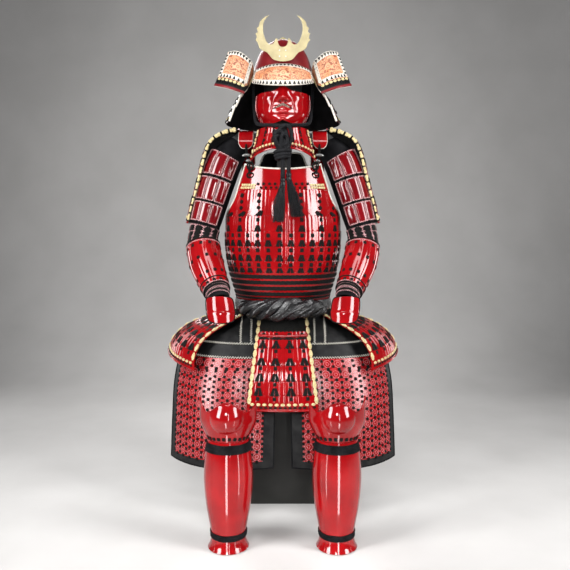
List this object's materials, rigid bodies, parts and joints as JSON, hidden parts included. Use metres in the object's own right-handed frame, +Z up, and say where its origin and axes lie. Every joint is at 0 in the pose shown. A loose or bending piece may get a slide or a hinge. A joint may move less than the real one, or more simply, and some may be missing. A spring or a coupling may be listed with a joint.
{
  "type": "samurai armour on display post and storage chest",
  "caption": "Lacquered plate and lame armour with horned helmet, face mask, laced cuirass, skirts and shin guards, set up on its post and chest.",
  "frame": {"origin": "on the floor, under the middle of the whole set", "axes": "+Z up; the armour faces -Y; +X is the wearer's left"},
  "size_m": [0.804, 0.7916, 1.597],
  "materials": {
    "lacquer": "glossy blood-red urushi-style lacquer",
    "dark_lacquer": "glossy maroon-black lacquer",
    "printed_leather": "printed tan leather",
    "black_cloth": "matt woven cloth",
    "black_cord": "braided cord",
    "plated_cloth": "black cloth under small red plates",
    "gilt": "pale satin gilt",
    "stand_black": "black painted wood"
  },
  "bodies": {
    "root": {"helmet_bowl": "dark_lacquer", "helmet_visor": "printed_leather", "helmet_finial": "gilt", "crest": "gilt", "crest_holder": "dark_lacquer", "neck_guard_1": "dark_lacquer", "neck_guard_2": "dark_lacquer", "neck_guard_3": "dark_lacquer", "neck_guard_4": "dark_lacquer", "mask": "lacquer", "throat_guard_1": "lacquer", "throat_guard_2": "lacquer", "throat_guard_3": "lacquer", "chin_cord": "black_cord", "chin_knot": "black_cord", "munaita": "lacquer", "cuirass_front": "lacquer", "cuirass_back": "lacquer", "sash_band": "black_cloth", "sash_twist": "black_cloth", "tasset_front": "lacquer", "tasset_back_L": "lacquer", "tasset_back_C": "lacquer", "tasset_back_R": "lacquer", "stand_chest": "stand_black", "stand_post": "stand_black", "helmet_wing_L": "printed_leather", "helmet_wing_R": "printed_leather", "chin_tail_L": "black_cord", "chin_tail_R": "black_cord", "chin_tassel_L": "black_cord", "chin_tassel_R": "black_cord", "shoulder_strap_L": "lacquer", "shoulder_strap_R": "lacquer", "shoulder_tie_L": "black_cord", "shoulder_tie_R": "black_cord", "tasset_side_L": "lacquer", "tasset_side_R": "lacquer", "thigh_guard_L": "plated_cloth", "thigh_guard_R": "plated_cloth", "shoulder_guard_L": "lacquer", "shoulder_guard_R": "lacquer", "sleeve_L": "black_cloth", "sleeve_R": "black_cloth", "upper_arm_plates_L": "lacquer", "upper_arm_plates_R": "lacquer", "forearm_plates_L": "lacquer", "forearm_plates_R": "lacquer", "hand_guard_L": "lacquer", "hand_guard_R": "lacquer", "shin_guard_L": "lacquer", "shin_guard_R": "lacquer", "knee_guard_L": "lacquer", "knee_guard_R": "lacquer", "shin_tie_upper_L": "black_cloth", "shin_tie_upper_R": "black_cloth", "shin_tie_lower_L": "black_cloth", "shin_tie_lower_R": "black_cloth"}
  },
  "joints": []
}
